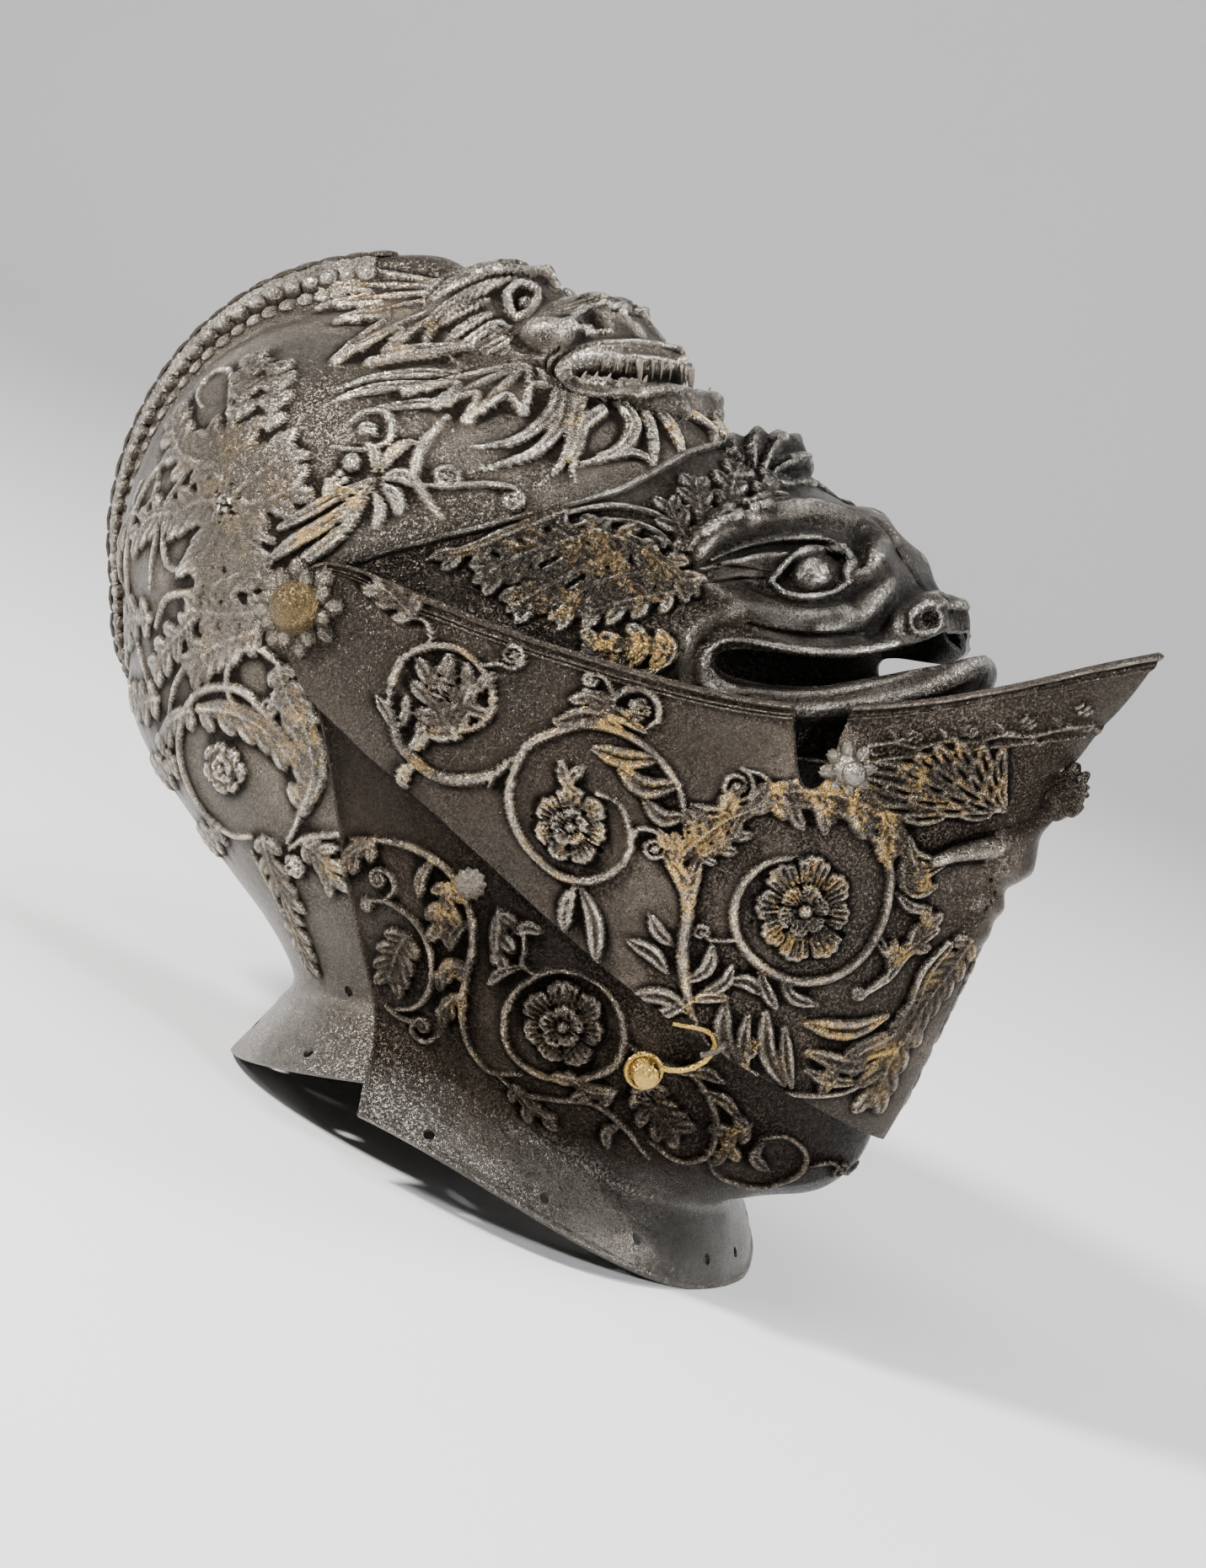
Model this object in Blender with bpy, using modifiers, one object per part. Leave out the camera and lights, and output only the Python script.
"""Close helmet with a grotesque mask visor, a prow-shaped ventail, a bevor with a neck flange and hook.

Tables and named sizes are in millimetres, in the side view, measured from the pivot axis:
x forward, z up. The object stands on its neck flanges on the plane z = 0, facing +X.
"""

import math

import bmesh
import bpy
import numpy as np
from mathutils import Vector
from mathutils.bvhtree import BVHTree

MM = 0.001

# Driving dimensions, in millimetres. The plates lie over each other at the pivots in the order
# skull, visor, bevor, ventail, one layer apart.
PIVOT_X = -51.4
PIVOT_Z = 162.0
PLATE = 1.5
LAYER = 2.3
SKULL_HALF_WIDTH = 104.0
VISOR_HALF_WIDTH = SKULL_HALF_WIDTH + LAYER
BEVOR_HALF_WIDTH = SKULL_HALF_WIDTH + 2 * LAYER
VENTAIL_HALF_WIDTH = SKULL_HALF_WIDTH + 3 * LAYER
ARM_RADIUS = 13.5
ARM_SKIN = 0.12
FAN_START = 9.0
BOLT_RADIUS = 3.0
BOLT_HOLE_RADIUS = 3.4
FLANGE_HOLE_RADIUS = 2.0
SHANK_RADIUS = 1.5
SHANK_HOLE_RADIUS = 1.9
INNER_HEAD_RADIUS = 2.8
TOUCH_GAP = 0.4
COMB_HEIGHT = 19.5
COMB_HALF_WIDTH = 14.0
RIM_ARCH = 6.0
CHIN_INSET = 3.2
ROUND_SIDES = 20
HOOK_RING_RADIUS = 5.6
HOOK_WIRE_RADIUS = 1.0
HOOK_TAPER = 0.5
STAPLE_WIRE_RADIUS = 1.0
STAPLE_HOLE_RADIUS = 1.5
HOOK_STANDOFF = 4.4
HOOK_AIM = 33.0
MOST = 400.0
GROUND_DEPTH = 40.0

# Skull: one row for each section from the rear flange's rim up to the brow. back_x, back_z is the
# section's end on the middle plane, edge_x, edge_z its end at the front edge, half its greatest
# half width, reach the distance from the back to that width, and power its superellipse exponent.
SKULL_ROWS = np.array([
    # back_x back_z edge_x edge_z  half  reach power
    (-4.0, -163.5, 81.0, -133.0, 88.0, 96.0, 2.0),
    (0.0, -152.0, 78.0, -126.0, 81.5, 91.0, 2.0),
    (4.0, -141.0, 75.0, -119.0, 76.0, 86.0, 2.0),
    (5.0, -130.0, 72.5, -112.5, 74.5, 85.0, 2.0),
    (-13.0, -115.0, 67.0, -103.0, 79.5, 96.0, 2.05),
    (-47.0, -96.0, 60.0, -89.0, 87.5, 110.0, 2.1),
    (-82.0, -73.0, 51.0, -68.0, 95.0, 118.0, 2.15),
    (-98.5, -41.0, 40.0, -44.0, 100.5, 110.0, 2.1),
    (-112.5, -14.0, 26.0, -20.0, 104.0, 113.0, 2.1),
    (-116.0, 15.0, 23.0, 1.0, 104.0, 116.0, 2.1),
    (-109.5, 43.0, 27.0, 19.0, 102.5, 112.0, 2.1),
    (-94.0, 66.5, 41.0, 34.5, 97.5, 101.0, 2.1),
    (-71.5, 83.5, 56.0, 46.5, 88.0, 90.0, 2.05),
    (-44.5, 95.0, 69.0, 56.5, 75.5, 85.0, 2.0),
    (-12.0, 106.0, 79.0, 66.5, 60.0, 78.0, 2.0),
    (24.0, 109.0, 84.0, 75.5, 42.0, 66.0, 2.0),
    (57.0, 101.5, 86.5, 83.0, 22.0, 44.0, 2.0),
    (84.0, 88.5, 86.5, 87.5, 1.5, 3.0, 2.0),
])

# Bevor: one row for each section from the front flange's rim up to the edge under the ventail.
# side_x, side_z is the end at the rear edge, front_x, front_z the end on the middle plane, half
# the half width at the rear edge, fall and nose the two exponents of the run to the middle plane.
BEVOR_ROWS = np.array([
    # side_x side_z front_x front_z half fall nose
    (81.0, -144.0, 188.0, -163.5, 97.5, 2.6, 2.0),
    (76.0, -134.0, 184.0, -154.0, 91.3, 2.7, 2.0),
    (71.0, -124.0, 178.0, -146.0, 84.0, 2.8, 2.0),
    (66.0, -116.0, 174.0, -138.5, 80.2, 2.8, 2.0),
    (62.0, -109.0, 186.0, -129.5, 81.5, 2.7, 1.9),
    (56.0, -97.0, 204.0, -118.5, 87.3, 2.65, 1.7),
    (48.0, -81.0, 212.5, -105.0, 95.6, 2.6, 1.5),
    (39.0, -62.0, 213.5, -92.0, 102.0, 2.6, 1.4),
    (26.0, -39.0, 213.5, -81.0, 107.0, 2.65, 1.35),
    (2.0, -7.0, 213.5, -71.0, 108.6, 2.8, 1.3),
])

# Ventail: the ridge on the middle plane, by angle above the horizontal through the pivot.
VENTAIL_RIDGE = np.array([
    # angle radius fall nose
    (-45.0, 246.0, 2.8, 1.30),
    (-30.0, 244.0, 2.8, 1.30),
    (-23.0, 237.5, 2.8, 1.30),
    (-15.0, 229.0, 2.8, 1.30),
    (-8.0, 224.0, 2.75, 1.28),
    (0.0, 222.0, 2.65, 1.25),
    (6.0, 224.5, 2.5, 1.21),
    (11.0, 230.5, 2.4, 1.18),
    (15.0, 239.0, 2.3, 1.16),
    (18.0, 248.0, 2.2, 1.15),
    (22.0, 259.0, 2.2, 1.15),
    (30.0, 272.0, 2.2, 1.15),
])

# Ventail edges: angle of the upper and the lower edge by distance from the pivot.
VENTAIL_EDGES = np.array([
    # radius upper lower
    (8.0, 110.0, -95.0),
    (14.0, 98.0, -85.0),
    (20.0, 70.0, -73.0),
    (29.0, 45.0, -60.0),
    (38.0, 33.5, -49.0),
    (55.0, 23.5, -38.5),
    (75.0, 18.0, -32.0),
    (100.0, 15.0, -28.5),
    (130.0, 13.2, -26.5),
    (160.0, 13.2, -25.4),
    (190.0, 15.2, -24.2),
    (220.0, 18.0, -23.2),
    (240.0, 19.9, -22.9),
    (260.0, 21.4, -22.8),
])

# Visor: the mask's profile on the middle plane, by angle.
VISOR_RIDGE = np.array([
    # angle radius fall nose
    (0.0, 183.0, 2.2, 1.75),
    (8.0, 187.0, 2.2, 1.75),
    (14.0, 193.0, 2.2, 1.75),
    (19.5, 194.5, 2.15, 1.72),
    (22.0, 187.5, 2.1, 1.70),
    (25.5, 182.5, 2.0, 1.68),
    (28.0, 175.0, 2.0, 1.75),
    (31.0, 165.5, 2.05, 1.85),
    (36.0, 156.0, 2.1, 1.95),
    (41.0, 143.0, 2.15, 2.05),
    (46.0, 133.0, 2.2, 2.1),
    (50.0, 127.0, 2.2, 2.15),
    (54.0, 123.0, 2.2, 2.2),
    (60.0, 119.0, 2.2, 2.2),
])

# Visor edges: angle of the upper and the lower edge by distance from the pivot.
VISOR_EDGES = np.array([
    # radius upper lower
    (8.0, 96.0, -40.0),
    (14.0, 88.0, -25.0),
    (22.0, 72.0, -8.0),
    (36.0, 59.0, 3.0),
    (55.0, 51.5, 7.0),
    (72.0, 48.5, 7.5),
    (88.0, 47.0, 7.0),
    (105.0, 47.5, 6.5),
    (120.0, 51.0, 6.0),
    (150.0, 54.0, 6.0),
    (200.0, 54.0, 8.5),
])

# Outline of the mouth slot in the side view, lower edge then upper edge.
SIGHT_OUTLINE = (
    (125.5, 39.5), (127.0, 36.6), (132.0, 35.4), (143.0, 37.4), (155.0, 42.3), (164.0, 49.0),
    (171.5, 55.2), (178.0, 60.5), (182.5, 65.0), (188.0, 73.0), (202.0, 92.0), (196.0, 98.0),
    (178.0, 80.0), (172.8, 73.0), (170.3, 66.5), (166.0, 60.3), (157.0, 53.2), (146.0, 49.6),
    (134.0, 46.0), (127.5, 43.0),
)

# Outline of the notch in the ventail's upper edge, right side.
NOTCH_OUTLINE = (
    (153.5, 50.0), (154.5, 38.0), (156.5, 30.0), (163.0, 16.0), (166.0, 12.5), (169.5, 12.5),
    (171.5, 16.0), (170.5, 26.0), (170.0, 33.0), (170.5, 50.0),
)

# Lining holes: places in the side view.
SKULL_HOLES = ((47.0, -139.0), (49.0, -116.0), (8.0, -149.0))
BEVOR_HOLES = ((105.0, -139.5), (145.0, -144.0), (170.0, -149.0), (183.0, -153.5))

# The hook's arm from its ring to its tip, and the staple's wire, both along and across the line from
# the stud to the staple. The staple's second column is the height over the hook's plane.
HOOK_PATH = (
    (5.2, -0.6), (8.0, -2.6), (11.5, -4.0), (15.5, -4.4), (19.5, -3.6), (22.8, -1.6), (24.6, 1.2),
    (24.6, 4.2), (22.6, 6.8), (19.6, 8.8), (16.4, 10.6), (13.4, 12.4),
)
STAPLE_ALONG = 22.0
STAPLE_PATH = (
    (5.6, -3.6), (5.6, -1.5), (5.5, 0.8), (4.4, 2.8), (2.0, 3.8), (-0.8, 3.7), (-3.0, 2.9),
)

# Bumps of the mask: centre in the side view, radius along x, radius along z, height.
MASK_BUMPS = (
    (135.5, 74.5, 9.0, 8.0, 3.5),
    (140.0, 88.0, 13.0, 6.0, 4.5),
    (149.0, 84.0, 7.0, 8.0, 4.0),
    (152.0, 66.0, 9.0, 8.0, 2.5),
    (168.0, 77.0, 9.0, 7.0, 2.0),
)

# Bumps of the beast's head on the skull: centre in the side view, radii, height.
BEAST_BUMPS = (
    (-6.0, 100.0, 26.0, 26.0, 8.0),
    (12.0, 106.0, 17.0, 16.0, 14.0),
    (34.0, 101.0, 15.0, 13.0, 10.0),
    (20.0, 84.0, 20.0, 14.0, 4.0),
    (-20.0, 108.0, 14.0, 12.0, 4.0),
)


def smooth(knots, values, x):
    """Cubic curve through values at knots, with slopes from the neighbouring rows."""
    knots, values = np.asarray(knots, float), np.asarray(values, float)
    slopes = np.gradient(values, knots)
    x = np.clip(x, knots[0], knots[-1])
    i = np.clip(np.searchsorted(knots, x) - 1, 0, len(knots) - 2)
    span = knots[i + 1] - knots[i]
    t = (x - knots[i]) / span
    return (
        values[i] * (2 * t**3 - 3 * t**2 + 1)
        + slopes[i] * span * (t**3 - 2 * t**2 + t)
        + values[i + 1] * (3 * t**2 - 2 * t**3)
        + slopes[i + 1] * span * (t**3 - t**2)
    )


def step(low, high, x):
    t = np.clip((x - low) / (high - low), 0, 1)
    return t * t * (3 - 2 * t)


def rows_at(rows, s):
    """Every column of a section table at the shares s of the way from its first row to its last."""
    knots = np.linspace(0, 1, len(rows))
    return [smooth(knots, rows[:, k], s) for k in range(rows.shape[1])]


def skull_points(s, t):
    """Outer surface of the skull's right half: s from rim to brow, t from the back to the edge."""
    back_x, back_z, edge_x, edge_z, half, reach, power = rows_at(SKULL_ROWS, s)
    length = np.hypot(edge_x - back_x, edge_z - back_z)
    run = 1 - np.cos(t * np.pi / 2)
    along = length * (0.35 * t**2 + 0.65 * run)
    u = np.clip(1 - along / reach, 0, 1)
    y = half * (1 - u**power) ** (1 / power)
    y -= 0.9 * np.clip(along - reach, 0, None) ** 2 / 200
    x = back_x + (edge_x - back_x) * along / length
    z = back_z + (edge_z - back_z) * along / length
    return np.stack([x, -y, z], -1)


def ventail_reach(angle):
    return [smooth(VENTAIL_RIDGE[:, 0], VENTAIL_RIDGE[:, k], angle) for k in (1, 2, 3)]


def bevor_points(s, t):
    """Outer surface of the bevor's right half: s from the rim to the top, t from the rear edge to the
    front. Its upper part stays one layer inside the ventail."""
    side_x, side_z, front_x, front_z, half, fall, nose = rows_at(BEVOR_ROWS, s)
    run = np.sin(t * np.pi / 2)
    x = side_x + (front_x - side_x) * run
    z = side_z + (front_z - side_z) * run
    y = half * (1 - run**fall) ** (1 / nose)
    angle, radius = np.degrees(np.arctan2(z, x)), np.hypot(x, z)
    reach, fall, nose = ventail_reach(angle)
    share = np.clip(1 - (radius / (reach - CHIN_INSET)) ** fall, 0, 1)
    inner = (VENTAIL_HALF_WIDTH - LAYER) * share ** (1 / nose)
    y += (np.minimum(y, inner) - y) * step(-40.0, -26.0, angle)
    arch = RIM_ARCH * 4 * run * (1 - run) * step(0.33, 0.0, s)
    return np.stack([x, -y, z + arch], -1)


def fan_points(ridge, edges, half_width, s, t):
    """Right half of a plate that spreads from the pivot: s from the lower to the upper edge, t from
    the arm to the middle plane."""
    share = np.sin(t * np.pi / 2) ** 0.9
    angle = np.zeros_like(share)
    for _ in range(12):
        reach = smooth(ridge[:, 0], ridge[:, 1], angle)
        radius = FAN_START + (reach - FAN_START) * share
        upper = smooth(edges[:, 0], edges[:, 1], radius)
        lower = smooth(edges[:, 0], edges[:, 2], radius)
        angle = lower + (upper - lower) * s
    fall = smooth(ridge[:, 0], ridge[:, 2], angle)
    nose = smooth(ridge[:, 0], ridge[:, 3], angle)
    y = half_width * np.clip(1 - (radius / reach) ** fall, 0, 1) ** (1 / nose)
    turn = np.radians(angle)
    return np.stack([radius * np.cos(turn), -y, radius * np.sin(turn)], -1)


def normals_of(points):
    along_s = np.gradient(points, axis=0)
    along_t = np.gradient(points, axis=1)
    normal = np.cross(along_s, along_t)
    normal /= np.maximum(np.linalg.norm(normal, axis=-1, keepdims=True), 1e-9)
    middle = points.reshape(-1, 3).mean(0) * (1, 0, 1)
    if (normal * (points - middle)).sum() < 0:
        normal = -normal
    return normal


def raised(points, bumps):
    """Points pushed out along the surface's normal by smooth round bumps."""
    height = np.zeros(points.shape[:2])
    for x, z, wide, tall, high in bumps:
        near = ((points[..., 0] - x) / wide) ** 2 + ((points[..., 2] - z) / tall) ** 2
        height += high * np.exp(-near)
    moved = points + normals_of(points) * height[..., None]
    moved[..., 1] = np.where(points[..., 1] > -0.001, 0, np.minimum(moved[..., 1], 0))
    return moved


def with_comb(points):
    """The skull with its crest raised along the middle plane, from the nape to the beast's neck."""
    angle = np.degrees(np.arctan2(points[..., 2], points[..., 0])) % 360
    share = step(228.0, 204.0, angle) * step(97.0, 116.0, angle)
    across = np.exp(-((points[..., 1] / COMB_HALF_WIDTH) ** 2))
    radius = np.hypot(points[..., 0], points[..., 2])
    scale = 1 + COMB_HEIGHT * share * across / radius
    return points * np.stack([scale, np.ones_like(scale), scale], -1)


def placed(points):
    return (np.asarray(points) + (PIVOT_X, 0, PIVOT_Z)) * MM


def sheet(name, points, material):
    """Half of a plate as an open grid of quads, mirrored over the middle plane and thickened."""
    rows, columns = points.shape[:2]
    points = placed(points)
    build = bmesh.new()
    grid = [[build.verts.new(p) for p in row] for row in points]
    for i in range(rows - 1):
        for j in range(columns - 1):
            build.faces.new((grid[i][j], grid[i + 1][j], grid[i + 1][j + 1], grid[i][j + 1]))
    build.normal_update()
    middle = points.reshape(-1, 3).mean(0) * (1, 0, 1)
    facing = sum(f.normal.dot(f.calc_center_median() - type(f.normal)(middle)) for f in build.faces)
    if facing < 0:
        bmesh.ops.reverse_faces(build, faces=build.faces)
    obj = add_mesh(name, build, material)
    mirror = obj.modifiers.new("left half", "MIRROR")
    mirror.use_axis = (False, True, False)
    mirror.merge_threshold = 0.00002
    thick = obj.modifiers.new("plate", "SOLIDIFY")
    thick.thickness = PLATE * MM
    thick.offset = -1
    return obj


def add_mesh(name, build, material, collection=None):
    mesh = bpy.data.meshes.new(name)
    build.to_mesh(mesh)
    build.free()
    obj = bpy.data.objects.new(name, mesh)
    (collection or parts).objects.link(obj)
    if material:
        mesh.materials.append(material)
    return obj


def cutter(name, build):
    obj = add_mesh(name, build, None, cutters)
    obj.hide_render = True
    obj.display_type = "WIRE"
    return obj


def combine(obj, other, operation):
    change = obj.modifiers.new(other.name, "BOOLEAN")
    change.operation = operation
    change.object = other
    change.solver = "EXACT"


def add_disc(obj, half_width):
    """The round end of a plate's arm on each side, joined to the plate."""
    for side in (-1, 1):
        low, high = side * (half_width - PLATE - ARM_SKIN), side * (half_width + ARM_SKIN)
        disc = rod(placed((0, low, 0)), placed((0, high, 0)), ARM_RADIUS)
        combine(obj, cutter(f"{obj.name} arm {side}", disc), "UNION")


def rod(start, end, radius, sides=ROUND_SIDES):
    """A round bar from start to end, in metres, with its radius in millimetres."""
    start, end = Vector(start), Vector(end)
    build = bmesh.new()
    bmesh.ops.create_cone(
        build, cap_ends=True, segments=sides,
        radius1=radius * MM, radius2=radius * MM, depth=(end - start).length,
    )
    turn = Vector((0, 0, 1)).rotation_difference(end - start).to_matrix()
    bmesh.ops.rotate(build, verts=build.verts, matrix=turn)
    bmesh.ops.translate(build, verts=build.verts, vec=(start + end) / 2)
    return build


def prism(outline, near, far):
    """A side-view outline extruded across the helmet from near to far."""
    build = bmesh.new()
    ends = [[build.verts.new(placed((x, y, z))) for x, z in outline] for y in (near, far)]
    build.faces.new(ends[0])
    build.faces.new(reversed(ends[1]))
    for k, n in ring_pairs(len(outline)):
        build.faces.new((ends[0][n], ends[0][k], ends[1][k], ends[1][n]))
    bmesh.ops.triangulate(build, faces=build.faces)
    if build.calc_volume(signed=True) < 0:
        bmesh.ops.reverse_faces(build, faces=build.faces)
    return build


def ring_pairs(count):
    return [(k, (k + 1) % count) for k in range(count)]


def seat(points, x, z, side=-1):
    """Where a line across the helmet meets a plate's outer face, and the face's outward normal."""
    rows, columns = points.shape[:2]
    flat = [Vector(p) for p in placed(points).reshape(-1, 3)]
    quads = [
        (i * columns + j, (i + 1) * columns + j, (i + 1) * columns + j + 1, i * columns + j + 1)
        for i in range(rows - 1) for j in range(columns - 1)
    ]
    start = Vector(placed((x, -MOST, z)))
    place, normal, _, _ = BVHTree.FromPolygons(flat, quads).ray_cast(start, Vector((0, 1, 0)))
    if normal.y > 0:
        normal = -normal
    flip = Vector((1, -side, 1))
    return place * flip, normal * flip


def turned(name, place, normal, profile, material, sides=ROUND_SIDES, lobes=0, depth=0.0):
    """A piece turned round an axis: profile rows are height along the normal and radius, in
    millimetres. Lobes give petals, deepest at the greatest radius."""
    build = bmesh.new()
    turn = Vector((0, 0, 1)).rotation_difference(normal).to_matrix()
    widest = max(radius for _, radius in profile)
    rings = []
    for height, radius in profile:
        if radius == 0:
            rings.append([build.verts.new(place + turn @ Vector((0, 0, height * MM)))])
            continue
        ring = []
        for k in range(sides):
            around = 2 * math.pi * k / sides
            share = (radius / widest) ** 3
            out = radius * (1 + depth * share * math.cos(lobes * around)) * MM
            spot = Vector((out * math.cos(around), out * math.sin(around), height * MM))
            ring.append(build.verts.new(place + turn @ spot))
        rings.append(ring)
    for low, high in zip(rings, rings[1:]):
        for k, n in ring_pairs(sides):
            corners = [low[k % len(low)], low[n % len(low)], high[n % len(high)], high[k % len(high)]]
            build.faces.new(list(dict.fromkeys(corners)))
    bmesh.ops.recalc_face_normals(build, faces=build.faces)
    return add_mesh(name, build, material)


def tube(points, radii, sides=8):
    """A round wire through points, in metres, with flat ends and radii in millimetres."""
    build = bmesh.new()
    points = [Vector(p) for p in points]
    across = (points[1] - points[0]).orthogonal().normalized()
    rings = []
    for k, point in enumerate(points):
        along = (points[min(k + 1, len(points) - 1)] - points[max(k - 1, 0)]).normalized()
        across = (across - along * across.dot(along)).normalized()
        other = along.cross(across)
        ring = []
        for j in range(sides):
            around = 2 * math.pi * j / sides
            spot = across * math.cos(around) + other * math.sin(around)
            ring.append(build.verts.new(point + spot * radii[k] * MM))
        rings.append(ring)
    for low, high in zip(rings, rings[1:]):
        for k, n in ring_pairs(sides):
            build.faces.new((low[k], low[n], high[n], high[k]))
    build.faces.new(rings[0])
    build.faces.new(rings[-1])
    bmesh.ops.recalc_face_normals(build, faces=build.faces)
    return build


def torus(place, normal, radius, wire, around=20, sides=8):
    build = bmesh.new()
    turn = Vector((0, 0, 1)).rotation_difference(normal).to_matrix()
    grid_rows = []
    for k in range(around):
        a = 2 * math.pi * k / around
        row = []
        for j in range(sides):
            b = 2 * math.pi * j / sides
            out = radius + wire * math.cos(b)
            spot = Vector((out * math.cos(a), out * math.sin(a), wire * math.sin(b)))
            row.append(build.verts.new(place + turn @ spot * MM))
        grid_rows.append(row)
    for k, n in ring_pairs(around):
        for j, m in ring_pairs(sides):
            build.faces.new((grid_rows[k][j], grid_rows[n][j], grid_rows[n][m], grid_rows[k][m]))
    bmesh.ops.recalc_face_normals(build, faces=build.faces)
    return build


def drill(obj, place, normal, radius, deep=8.0):
    hole = rod(place - normal * deep * MM, place + normal * deep * MM, radius, 12)
    combine(obj, cutter(f"{obj.name} hole {len(obj.modifiers)}", hole), "DIFFERENCE")


def metal(name, colour, roughness):
    made = bpy.data.materials.new(name)
    made.use_nodes = True
    shader = made.node_tree.nodes["Principled BSDF"]
    shader.inputs["Base Color"].default_value = (*colour, 1)
    shader.inputs["Roughness"].default_value = roughness
    shader.inputs["Metallic"].default_value = 1.0
    return made


def share_grid(s_count, t_count):
    return np.meshgrid(np.linspace(0, 1, s_count), np.linspace(0, 1, t_count), indexing="ij")


for old in list(bpy.data.objects):
    bpy.data.objects.remove(old)
parts = bpy.data.collections.new("close_helmet")
cutters = bpy.data.collections.new("cutters")
for made in (parts, cutters):
    bpy.context.scene.collection.children.link(made)

skull_steel = metal("skull_steel", (0.16, 0.145, 0.125), 0.42)
visor_steel = metal("visor_steel", (0.1, 0.09, 0.08), 0.4)
ventail_steel = metal("ventail_steel", (0.14, 0.115, 0.095), 0.45)
bevor_steel = metal("bevor_steel", (0.11, 0.095, 0.08), 0.45)
fitting_steel = metal("fitting_steel", (0.3, 0.27, 0.22), 0.35)
brass = metal("brass", (0.72, 0.5, 0.2), 0.3)

# The four plates.
skull_face = raised(with_comb(skull_points(*share_grid(30, 16))), BEAST_BUMPS)
plain_visor = fan_points(VISOR_RIDGE, VISOR_EDGES, VISOR_HALF_WIDTH, *share_grid(13, 21))
visor_face = raised(plain_visor, MASK_BUMPS)
bevor_face = bevor_points(*share_grid(16, 15))
ventail_face = fan_points(VENTAIL_RIDGE, VENTAIL_EDGES, VENTAIL_HALF_WIDTH, *share_grid(11, 17))
skull = sheet("skull", skull_face, skull_steel)
visor = sheet("visor", visor_face, visor_steel)
bevor = sheet("bevor", bevor_face, bevor_steel)
ventail = sheet("ventail", ventail_face, ventail_steel)
add_disc(visor, VISOR_HALF_WIDTH)
add_disc(bevor, BEVOR_HALF_WIDTH)
add_disc(ventail, VENTAIL_HALF_WIDTH)

# Openings through the plates: bolt holes, the mouth slot, the ventail's notch, the flat under the rims.
for plate in (skull, visor, bevor, ventail):
    bolt_hole = rod(placed((0, -MOST / 2, 0)), placed((0, MOST / 2, 0)), BOLT_HOLE_RADIUS, 16)
    combine(plate, cutter(f"{plate.name} bolt hole", bolt_hole), "DIFFERENCE")
combine(visor, cutter("sight slot", prism(SIGHT_OUTLINE, -MOST / 2, MOST / 2)), "DIFFERENCE")
combine(ventail, cutter("ventail notch", prism(NOTCH_OUTLINE, -MOST / 2, 0)), "DIFFERENCE")
deep = -PIVOT_Z - GROUND_DEPTH
ground = ((-MOST, deep), (MOST, deep), (MOST, -PIVOT_Z), (-MOST, -PIVOT_Z))
for plate in (skull, bevor):
    combine(plate, cutter(f"{plate.name} ground", prism(ground, -MOST / 2, MOST / 2)), "DIFFERENCE")
for plate, face, spots in ((skull, skull_face, SKULL_HOLES), (bevor, bevor_face, BEVOR_HOLES)):
    for x, z in spots:
        for side in (-1, 1):
            place, normal = seat(face, x, z, side)
            drill(plate, place, normal, FLANGE_HOLE_RADIUS)

# Pivot rosettes: petals and a domed head outside, one bolt through all four plates, a nut inside.
washer = VENTAIL_HALF_WIDTH + ARM_SKIN + TOUCH_GAP
inside = SKULL_HALF_WIDTH - PLATE - 2 * TOUCH_GAP
for side, word in ((-1, "right"), (1, "left")):
    profile = (
        (inside - 3.0, 0), (inside - 3.0, 5.5), (inside, 5.5), (inside, BOLT_RADIUS),
        (washer, BOLT_RADIUS), (washer, 12.0), (washer + 0.6, 16.5), (washer + 2.0, 17.0),
        (washer + 2.2, 11.0), (washer + 3.6, 10.6), (washer + 6.6, 7.6), (washer + 8.6, 0),
    )
    turned(
        f"pivot_rosette_{word}", Vector(placed((0, 0, 0))), Vector((0, side, 0)), profile,
        fitting_steel, sides=24, lobes=8, depth=0.07,
    )

# Small fittings, each on a shank through its plate with a riveted head inside.
def shank(deep):
    """Profile of the inner head and the shank, up to the plate's outer face."""
    return (
        (-deep, 0), (-deep, INNER_HEAD_RADIUS), (-PLATE - TOUCH_GAP, INNER_HEAD_RADIUS),
        (-PLATE - TOUCH_GAP, SHANK_RADIUS), (TOUCH_GAP, SHANK_RADIUS),
    )


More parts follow.
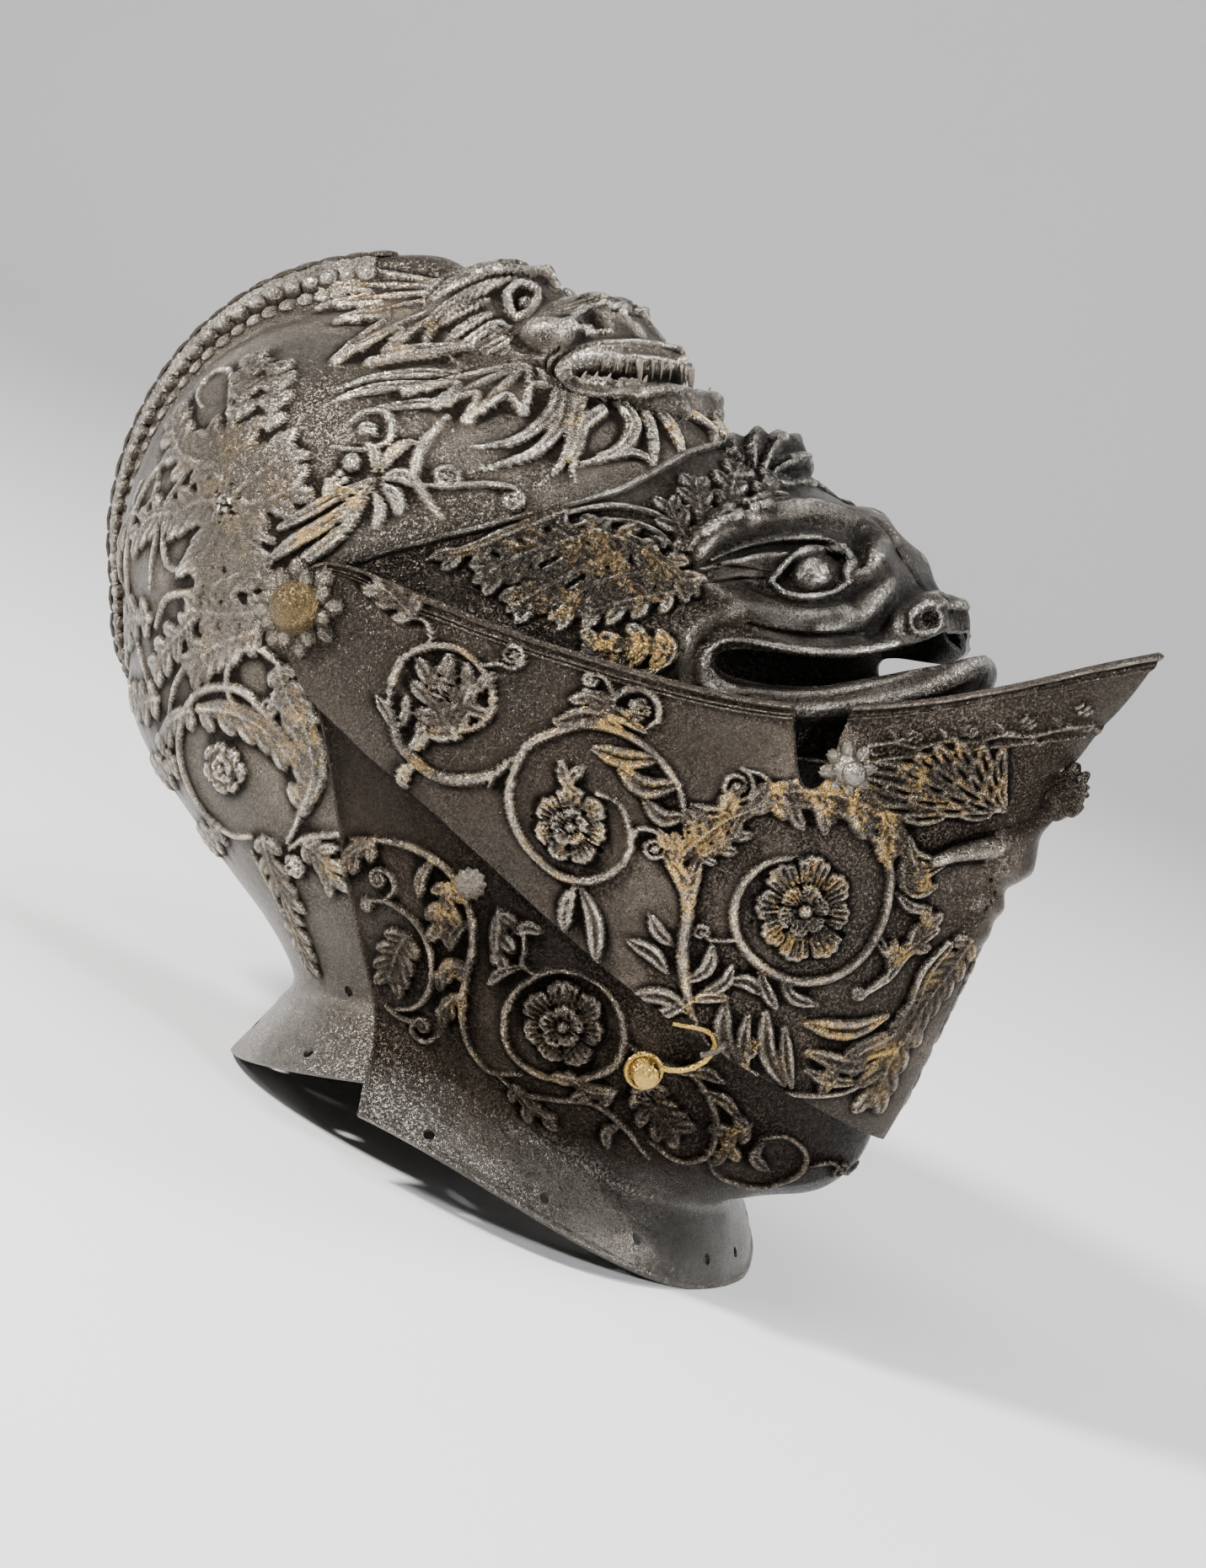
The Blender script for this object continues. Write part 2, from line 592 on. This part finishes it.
lift_place, lift_normal = seat(ventail_face, 175.5, 22.5)
stud_place, stud_normal = seat(bevor_face, 155.0, -92.0)
for name, plate, place, normal, outside in (
    ("lifting_peg", ventail, lift_place, lift_normal,
     ((0, 6.0), (1.0, 8.0), (2.2, 8.2), (2.6, 3.0), (4.0, 2.4), (5.0, 3.6), (7.2, 4.0),
      (9.2, 3.0), (10.2, 0))),
    ("hook_stud", bevor, stud_place, stud_normal,
     ((0, 4.4), (2.2, 4.4), (2.6, 2.8), (5.8, 2.8), (6.4, 4.0), (7.8, 4.9), (9.8, 4.1), (11.2, 0))),
):
    profile = shank(4.2) + tuple((TOUCH_GAP + high, out) for high, out in outside)
    turned(name, place, normal, profile, fitting_steel if name == "lifting_peg" else brass, 16)
    drill(plate, place, normal, SHANK_HOLE_RADIUS)
for side, word in ((-1, "right"), (1, "left")):
    place, normal = seat(bevor_face, 88.0, -57.5, side)
    outside = ((TOUCH_GAP, 3.8), (TOUCH_GAP + 1.0, 4.6), (TOUCH_GAP + 1.6, 4.0), (TOUCH_GAP + 2.4, 0))
    turned(f"bevor_rivet_{word}", place, normal, shank(4.0) + outside, fitting_steel, 12)
    drill(bevor, place, normal, SHANK_HOLE_RADIUS)

# The hook lies in the plane square to its stud. Its frame: out along the stud, ahead towards the
# staple, rise square to both.
out = stud_normal
ahead = Vector((math.cos(math.radians(HOOK_AIM)), 0, math.sin(math.radians(HOOK_AIM))))
ahead = (ahead - out * ahead.dot(out)).normalized()
rise = out.cross(ahead) if out.cross(ahead).z > 0 else ahead.cross(out)
hook_centre = stud_place + out * HOOK_STANDOFF * MM
ring = torus(hook_centre, out, HOOK_RING_RADIUS, HOOK_WIRE_RADIUS + 0.1)
hook = add_mesh("hook", ring, brass)
wire = []
for along, up in HOOK_PATH:
    wire.append(hook_centre + (ahead * along + rise * up) * MM)
arm_radii = [HOOK_WIRE_RADIUS + HOOK_TAPER * (0.5 - k / len(wire)) for k in range(len(wire))]
arm = cutter("hook arm", tube(wire, arm_radii))
combine(hook, arm, "UNION")

# The staple stands on the ventail's lower edge and arches over the hook's wire. It is open towards the
# stud, so that the ventail can be raised past a hook that is left in place.
centre = hook_centre + ahead * STAPLE_ALONG * MM
staple_path = []
for along, up in STAPLE_PATH:
    staple_path.append(centre + (ahead * along + out * up) * MM)
add_mesh("staple", tube(staple_path, [STAPLE_WIRE_RADIUS] * len(staple_path), 8), fitting_steel)
foot = staple_path[0]
drill(ventail, foot, out, STAPLE_HOLE_RADIUS, 5.0)
